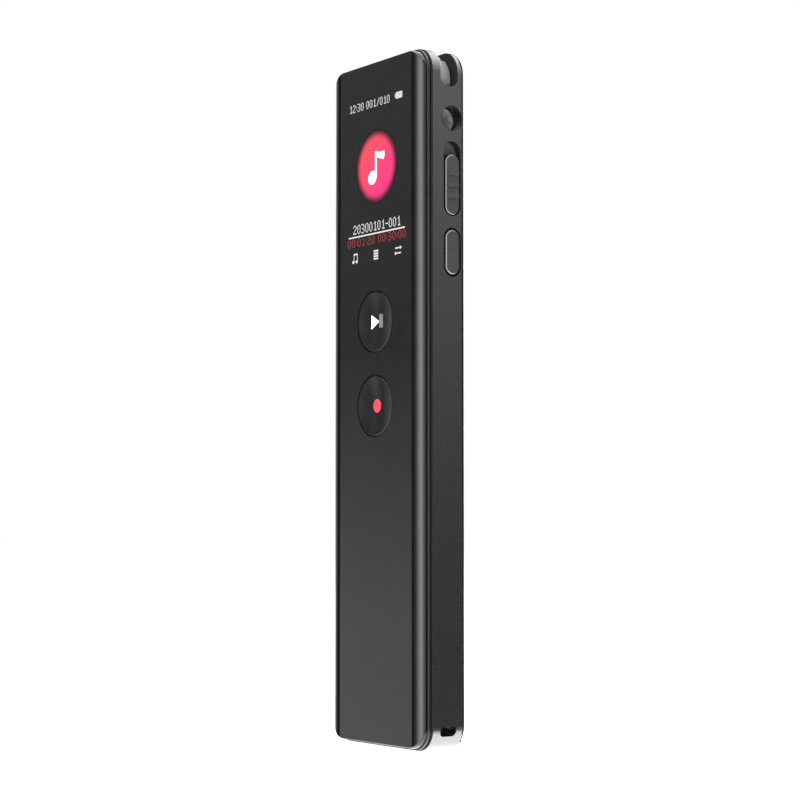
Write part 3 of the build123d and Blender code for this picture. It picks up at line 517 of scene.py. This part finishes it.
def battery_icon():
    left, right, middle_z = 5.1 * MM, 6.8 * MM, 94.5 * MM
    width, height, inside = right - left, 0.95 * MM, 0.4 * MM
    middle = ((left + right) / 2, middle_z)
    body = rounded_rectangle(width, height, 0.15 * MM, middle, 2)
    window = rounded_rectangle(width - inside, height - inside, 0.05 * MM, middle, 2)
    mesh = bmesh.new()
    plate_into(mesh, [on_screen(body), on_screen(window)], INK_FRONT, INK_BACK)
    for column in range(3):
        centre = (left + (0.42 + 0.42 * column) * MM, middle_z)
        bar = rounded_rectangle(0.34 * MM, 0.5 * MM, 0.04 * MM, centre, 1)
        plate_into(mesh, [on_screen(bar)], INK_FRONT, INK_BACK)
    tip = rounded_rectangle(0.16 * MM, 0.5 * MM, 0.04 * MM, (left - 0.12 * MM, middle_z), 1)
    plate_into(mesh, [on_screen(tip)], INK_FRONT, INK_BACK)
    finish_mesh("battery_icon", mesh, WHITE_INK, "housing")


battery_icon()


def menu_icons():
    """Small icons in a row under the time: a note pair, a list and a play order mark."""
    z = 71.75 * MM
    mesh = bmesh.new()

    def add(outline):
        plate_into(mesh, [on_screen(outline)], INK_FRONT, INK_BACK)

    for x in (-6.2, -5.3):
        add(ellipse((x * MM, z - 0.5 * MM), 0.28 * MM, 0.24 * MM))
        add(rounded_rectangle(0.14 * MM, 1.2 * MM, 0.03 * MM, ((x + 0.2) * MM, z + 0.05 * MM), 1))
    add(rounded_rectangle(1.04 * MM, 0.24 * MM, 0.03 * MM, (-5.55 * MM, z + 0.62 * MM), 1))
    for row in range(4):
        add(rounded_rectangle(1.2 * MM, 0.26 * MM, 0.03 * MM, (-0.1 * MM, z + (0.57 - 0.38 * row) * MM), 1))
    for row, shift in ((0.38, 0.1), (-0.38, -0.1)):
        add(rounded_rectangle(1.5 * MM, 0.2 * MM, 0.03 * MM, (5.7 * MM, z + row * MM), 1))
        tip = (5.7 + 0.95 * (1 if shift > 0 else -1)) * MM
        back = (5.7 + 0.55 * (1 if shift > 0 else -1)) * MM
        add([(back, z + (row - 0.3) * MM), (tip, z + row * MM), (back, z + (row + 0.3) * MM)])
    finish_mesh("menu_icons", mesh, WHITE_INK, "housing")


menu_icons()


# ---------------------------------------------------------------- button icons
DISH_SPHERE = (DISH_RADIUS**2 + DISH_DEPTH**2) / (2 * DISH_DEPTH)


def icon_on_dish(name, outlines, centre_z, material, body):
    """A thin inlay that follows the dish of a button."""
    mesh = bmesh.new()
    for outline in outlines:
        plate_into(mesh, [outline], -1.0, 1.0)
    for vert in mesh.verts:
        radius = math.hypot(vert.co.x, vert.co.z - centre_z)
        floor = PANEL_FRONT + DISH_DEPTH - (DISH_SPHERE - math.sqrt(DISH_SPHERE**2 - radius**2))
        vert.co.y = floor + (-0.012 * MM if vert.co.y < 0 else 0.03 * MM)
    finish_mesh(name, mesh, material, body)


# Printed icon paint that also glows; the glow is painted light that keeps the print bright
def glowing_icon_paint(name, colour, glow):
    material = new_material(name, colour, roughness=0.4, Emission_Color=(*colour, 1), Emission_Strength=glow)
    vary_roughness(material, 0.3 * MM, 0.35, 0.45)
    return material


play_triangle = [(x * MM, PLAY_Z + z * MM) for x, z in ((-1.35, -1.05), (0.55, 0.0), (-1.35, 1.05))]
play_bar = rounded_rectangle(1.05 * MM, 2.0 * MM, 0.05 * MM, (1.15 * MM, PLAY_Z + 0.05 * MM), 2)
icon_on_dish("play_icon", [play_triangle], PLAY_Z, glowing_icon_paint("icon_white", (0.9, 0.9, 0.9), 0.5), "play_key")
icon_on_dish("play_bar", [play_bar], PLAY_Z, glowing_icon_paint("icon_grey", (0.09, 0.09, 0.09), 0.5), "play_key")
icon_on_dish(
    "record_dot", [circle((0.1 * MM, RECORD_Z), 0.98 * MM, 48)], RECORD_Z,
    glowing_icon_paint("icon_red", (0.7, 0.03, 0.05), 0.35), "record_key",
)


# ---------------------------------------------------------------- microphone slots
SKIN_DEPTHS = (0.03 * MM, 0.005 * MM)  # front and back of a skin, off the wall it lies on
SLOT_WALL_Y = 2.15 * MM               # far wall of the slot
SLOT_LOW_Z = 95.3 * MM
SLOT_FILLET = 1.2 * MM
SLOT_HALF_WIDTH = 1.52 * MM
SLOT_FLOOR_TOP = 99.7 * MM            # the microphone port opens above this
SLOT_FLOOR_ARC = ((10.3, 95.3), (9.9, 98.4), (6.3, 101.1))


def circle_through(first, second, third):
    """Centre and radius of the circle through three points."""
    (ax, az), (bx, bz), (cx, cz) = first, second, third
    double_area = 2 * (ax * (bz - cz) + bx * (cz - az) + cx * (az - bz))
    a, b, c = (x * x + z * z for x, z in (first, second, third))
    x = (a * (bz - cz) + b * (cz - az) + c * (az - bz)) / double_area
    z = (a * (cx - bx) + b * (ax - cx) + c * (bx - ax)) / double_area
    return x, z, math.hypot(ax - x, az - z)


def slot_wall_shade(name, side):
    """Painted shade: a thin dark skin on the far wall of a corner slot, where shade falls."""
    arc_x, arc_z, arc_radius = (value * MM for value in circle_through(*SLOT_FLOOR_ARC))
    top = housing_high.z - 0.02 * MM
    path = []
    for step in range(9):
        angle = math.radians(75 - 75 * step / 8)
        path.append((SLOT_FILLET * (1 - math.cos(angle)), SLOT_LOW_Z + SLOT_FILLET * (1 - math.sin(angle))))
    straight = SLOT_LOW_Z + SLOT_FILLET
    path += [(0.0, straight + (top - straight) * step / 24) for step in range(1, 25)]
    mesh = bmesh.new()
    skins = []
    for depth in SKIN_DEPTHS:
        rows = []
        for forward, z in path:
            inner = arc_x + math.sqrt(max(0.0, arc_radius**2 - (z - arc_z) ** 2)) + 0.02 * MM
            into_corner = max(0.0, z - (housing_high.z - HOUSING_CORNER))
            corner_reach = math.sqrt(HOUSING_CORNER**2 - into_corner**2)
            outer = SIDE_X - HOUSING_CORNER + corner_reach - 0.03 * MM
            y = SLOT_WALL_Y - forward - depth
            rows.append([mesh.verts.new((side * x, y, z)) for x in (inner, max(outer, inner + 0.01 * MM))])
        skins.append(strip(mesh, rows))
    bridge(mesh, *skins)
    finish_mesh(name, mesh, slot_shadow, "housing")


def lit_slot_floor(name, side):
    """Painted light: a thin light skin on the lit floor of a corner slot, below the microphone port."""
    arc_x, arc_z, arc_radius = (value * MM for value in circle_through(*SLOT_FLOOR_ARC))
    low, high = SLOT_LOW_Z + 0.05 * MM, SLOT_FLOOR_TOP
    mesh = bmesh.new()
    skins = []
    for lift in SKIN_DEPTHS:
        rows = []
        for step in range(33):
            z = low + (high - low) * step / 32
            into_end = max(0.0, SLOT_FILLET - (z - SLOT_LOW_Z))
            half = SLOT_HALF_WIDTH - SLOT_FILLET + math.sqrt(SLOT_FILLET**2 - into_end**2) - 0.04 * MM
            x = arc_x + math.sqrt((arc_radius + lift) ** 2 - (z - arc_z) ** 2)
            rows.append([
                mesh.verts.new((side * x, SLOT_WALL_Y - SLOT_HALF_WIDTH + way * half, z)) for way in (-1, 1)
            ])
        skins.append(strip(mesh, rows))
    bridge(mesh, *skins)
    finish_mesh(name, mesh, slot_painted_light, "housing")


lit_slot_floor("slot_floor_right", 1)
lit_slot_floor("slot_floor_left", -1)
slot_wall_shade("slot_liner_right", 1)
slot_wall_shade("slot_liner_left", -1)


# ---------------------------------------------------------------- painted shade in the gaps round the side controls
def stadium(length, width, centre, steps=16):
    """A slot outline (y, z) that runs along Z."""
    radius = width / 2
    reach = length / 2 - radius
    points = arc_points((centre[0], centre[1] + reach), radius, 0, 180, steps)
    return points + arc_points((centre[0], centre[1] - reach), radius, 180, 360, steps)


GAP_SHADE_OFFSETS = (0.004 * MM, 0.02 * MM)


def gap_shade(name, length, width, centre, x_limits, outward, body):
    """Painted shade: a thin dark band on the wall of a slot (outward -1) or round a key (outward 1)."""
    near, far = (
        stadium(length + 2 * outward * offset, width + 2 * outward * offset, centre)
        for offset in GAP_SHADE_OFFSETS
    )
    band(name, near, far, lambda y, z, x: (x, y, z), x_limits, slot_shadow, body)


SIDE_Y = 1.15 * MM
SLIDE_SLOT = (76.45 * MM, 87.30 * MM)
KNOB_SIDE = (76.60 * MM, 85.40 * MM)
KEY_SLOT = (67.65 * MM, 74.75 * MM)
KEY_SIDE = (67.95 * MM, 74.45 * MM)
SLOT_WIDTH = 3.0 * MM
CONTROL_WIDTH = 2.4 * MM
WALL_X = (SIDE_X - 1.19 * MM, SIDE_X - 0.01 * MM)
CONTROL_X = (SIDE_X - 1.1 * MM, SIDE_X - 0.05 * MM)


def span(limits):
    return limits[1] - limits[0], (SIDE_Y, (limits[0] + limits[1]) / 2)


for shade_name, limits, width, x_limits, outward, body in (
    ("slide_slot_shade", SLIDE_SLOT, SLOT_WIDTH, WALL_X, -1, "housing"),
    ("key_slot_shade", KEY_SLOT, SLOT_WIDTH, WALL_X, -1, "housing"),
    ("knob_shade", KNOB_SIDE, CONTROL_WIDTH, CONTROL_X, 1, "slider"),
    ("key_shade", KEY_SIDE, CONTROL_WIDTH, CONTROL_X, 1, "push_key"),
):
    length, centre = span(limits)
    gap_shade(shade_name, length, width, centre, x_limits, outward, body)


JACK_CENTRE = (SIDE_Y, 90.7 * MM)
JACK_SHADE_RING = (1.862 * MM, 1.802 * MM)   # outer and inner radius
# Painted shade: a dark ring round the mouth of the jack, where shade falls
band(
    "jack_rim_shade", circle(JACK_CENTRE, JACK_SHADE_RING[0]), circle(JACK_CENTRE, JACK_SHADE_RING[1]),
    lambda y, z, x: (x, y, z), (SIDE_X - 0.07 * MM, SIDE_X + 0.002 * MM),
    slot_shadow, "housing",
)


def body_outline(inset):
    """The housing's outline, held just under its two end faces."""
    size = (2 * (SIDE_X - inset), housing_high.z - housing_low.z - 2 * inset)
    centre = (0, (housing_high.z + housing_low.z) / 2)
    end_gap = 0.003 * MM
    return [
        (x, min(max(z, housing_low.z + end_gap), housing_high.z - end_gap))
        for x, z in rounded_rectangle(*size, HOUSING_CORNER - inset, centre, 32)
    ]


# Painted shade: a dark band in the parting groove between the front frame and the housing
band(
    "parting_groove_shade", body_outline(-0.004 * MM), body_outline(0.05 * MM),
    lambda x, z, y: (x, y, z), (housing_low.y - 0.02 * MM, housing_low.y + 0.26 * MM),
    slot_shadow, "housing",
)


# ---------------------------------------------------------------- studio
RIG_DISTANCE = 0.9
RIG_HEIGHT = 0.05                     # card elevations are measured from here
EVEN = ((0, 1), (1, 1))


def brightness_curve(material, value, stops):
    """Brightness along a 0 to 1 value, from (share, level) stops."""
    nodes = material.node_tree.nodes
    curve = nodes.new("ShaderNodeFloatCurve")
    points = curve.mapping.curves[0].points
    peak = max(level for _, level in stops)
    for index, (share, level) in enumerate(stops):
        if index < 2:
            points[index].location = (share, level / peak)
        else:
            points.new(share, level / peak)
    for point in points:
        point.handle_type = "VECTOR"
    curve.mapping.update()
    link(material, value, curve.inputs["Value"])
    strength = nodes.new("ShaderNodeMath")
    strength.operation = "MULTIPLY"
    strength.inputs[1].default_value = peak
    link(material, curve.outputs[0], strength.inputs[0])
    return strength.outputs[0]


def light_panel(name, corners, levels, across):
    """An emissive card seen only in reflections and as light, with brightness stops along
    its height (levels) and along its width (across)."""
    mesh = bpy.data.meshes.new(name)
    mesh.from_pydata(corners, [], [tuple(range(len(corners)))])
    uv = mesh.uv_layers.new(name="UVMap")
    for loop, coordinate in zip(uv.data, ((0, 0), (1, 0), (1, 1), (0, 1))):
        loop.uv = coordinate
    card = bpy.data.objects.new(name, mesh)
    bpy.context.scene.collection.objects.link(card)
    material = bpy.data.materials.new(name)
    material.use_nodes = True
    nodes = material.node_tree.nodes
    nodes.clear()
    emission = nodes.new("ShaderNodeEmission")
    output = nodes.new("ShaderNodeOutputMaterial")
    link(material, emission.outputs[0], output.inputs["Surface"])
    coordinates = nodes.new("ShaderNodeTexCoord")
    split = nodes.new("ShaderNodeSeparateXYZ")
    link(material, coordinates.outputs["UV"], split.inputs[0])
    both = nodes.new("ShaderNodeMath")
    both.operation = "MULTIPLY"
    link(material, brightness_curve(material, split.outputs["Y"], levels), both.inputs[0])
    link(material, brightness_curve(material, split.outputs["X"], across), both.inputs[1])
    link(material, both.outputs[0], emission.inputs["Strength"])
    mesh.materials.append(material)
    card.visible_camera = False
    card.visible_shadow = False


def wall_card(name, azimuths, elevations, levels, across=EVEN):
    """An upright card between two azimuths (degrees from the front towards +X)."""
    low, high = (RIG_DISTANCE * math.tan(math.radians(e)) + RIG_HEIGHT for e in elevations)
    left, right = (math.radians(azimuth) for azimuth in azimuths)
    corners = [
        (RIG_DISTANCE * math.sin(angle), -RIG_DISTANCE * math.cos(angle), height)
        for angle, height in ((left, low), (right, low), (right, high), (left, high))
    ]
    light_panel(name, corners, levels, across)


def flat_card(name, half_size, height, level):
    corners = [(x * half_size, y * half_size, height) for x, y in ((-1, -1), (1, -1), (1, 1), (-1, 1))]
    light_panel(name, corners, ((0, level), (1, level)), EVEN)


wall_card(
    "left_card", (-58.2, -52), (-14, 30),
    ((0, 1.07), (0.2, 0.85), (0.34, 0.45), (0.42, 0.24), (0.6, 0.3), (1, 0.36)),
)
wall_card(
    "far_left_card", (-128, -70), (-20, 40), ((0, 1.15), (0.35, 1.0), (1, 0.9)),
    across=((0, 0.9), (0.72, 0.68), (0.89, 0.36), (1, 0.1)),
)
wall_card(
    "front_box", (-45, 25), (-24, 40), EVEN,
    across=(
        (0, 0.12), (0.1, 0.1), (0.254, 0.7), (0.412, 2.6),
        (0.613, 5.4), (0.76, 4.6), (0.946, 3.0), (1, 2.7),
    ),
)
wall_card(
    "front_right_box", (25, 100), (-24, 40), EVEN,
    across=((0, 2.7), (0.295, 1.0), (0.54, 0.3), (0.757, 0.12), (1, 0.06)),
)
wall_card(
    "side_card", (101, 160), (-20, 50),
    ((0, 0.01), (0.17, 0.035), (0.3, 0.2), (0.45, 0.56), (0.7, 1.5), (1, 2.2)),
)
flat_card("ceiling", 0.9, 1.1, 3.0)
flat_card("under_light", 0.48, -0.25, 3.4)

FLOOR_HALF = 12
floor_mesh = bpy.data.meshes.new("floor")
floor_mesh.from_pydata(
    [(x * FLOOR_HALF, y * FLOOR_HALF, 0) for x, y in ((-1, -1), (1, -1), (1, 1), (-1, 1))],
    [], [(0, 1, 2, 3)],
)
floor = bpy.data.objects.new("floor", floor_mesh)
bpy.context.scene.collection.objects.link(floor)
floor_material = new_material(
    "floor", grey(0.85), roughness=0.8, Emission_Color=(1, 1, 1, 1), Emission_Strength=1.0,
)
floor_mesh.materials.append(floor_material)
floor.visible_glossy = False
floor.visible_shadow = False

world = bpy.data.worlds.new("studio")
bpy.context.scene.world = world
world.use_nodes = True
world.node_tree.nodes["Background"].inputs["Color"].default_value = (1, 1, 1, 1)
world.node_tree.nodes["Background"].inputs["Strength"].default_value = 1.0
world.cycles_visibility.diffuse = False
world.cycles_visibility.glossy = False
world.cycles_visibility.transmission = False
world.cycles_visibility.scatter = False
bpy.context.scene.view_settings.view_transform = "Standard"

# ---------------------------------------------------------------- camera
CAMERA_AZIMUTH = math.radians(55.82)
CAMERA_ELEVATION = math.radians(-3.65)
CAMERA_DISTANCE = 0.3121
SENSOR_WIDTH = 36                     # millimetres, as is the lens
LENS = 95.11
TARGET = Vector((0.15 * MM, 0.24 * MM, 50.50 * MM))

back = Vector((
    math.sin(CAMERA_AZIMUTH) * math.cos(CAMERA_ELEVATION),
    -math.cos(CAMERA_AZIMUTH) * math.cos(CAMERA_ELEVATION),
    math.sin(CAMERA_ELEVATION),
))
camera_data = bpy.data.cameras.new("camera")
camera_data.sensor_width = SENSOR_WIDTH
camera_data.lens = LENS
camera_data.clip_start = 0.01
camera = bpy.data.objects.new("camera", camera_data)
bpy.context.scene.collection.objects.link(camera)
camera.location = TARGET + back * CAMERA_DISTANCE
camera.rotation_mode = "QUATERNION"
camera.rotation_quaternion = (-back).to_track_quat("-Z", "Y")
bpy.context.scene.camera = camera
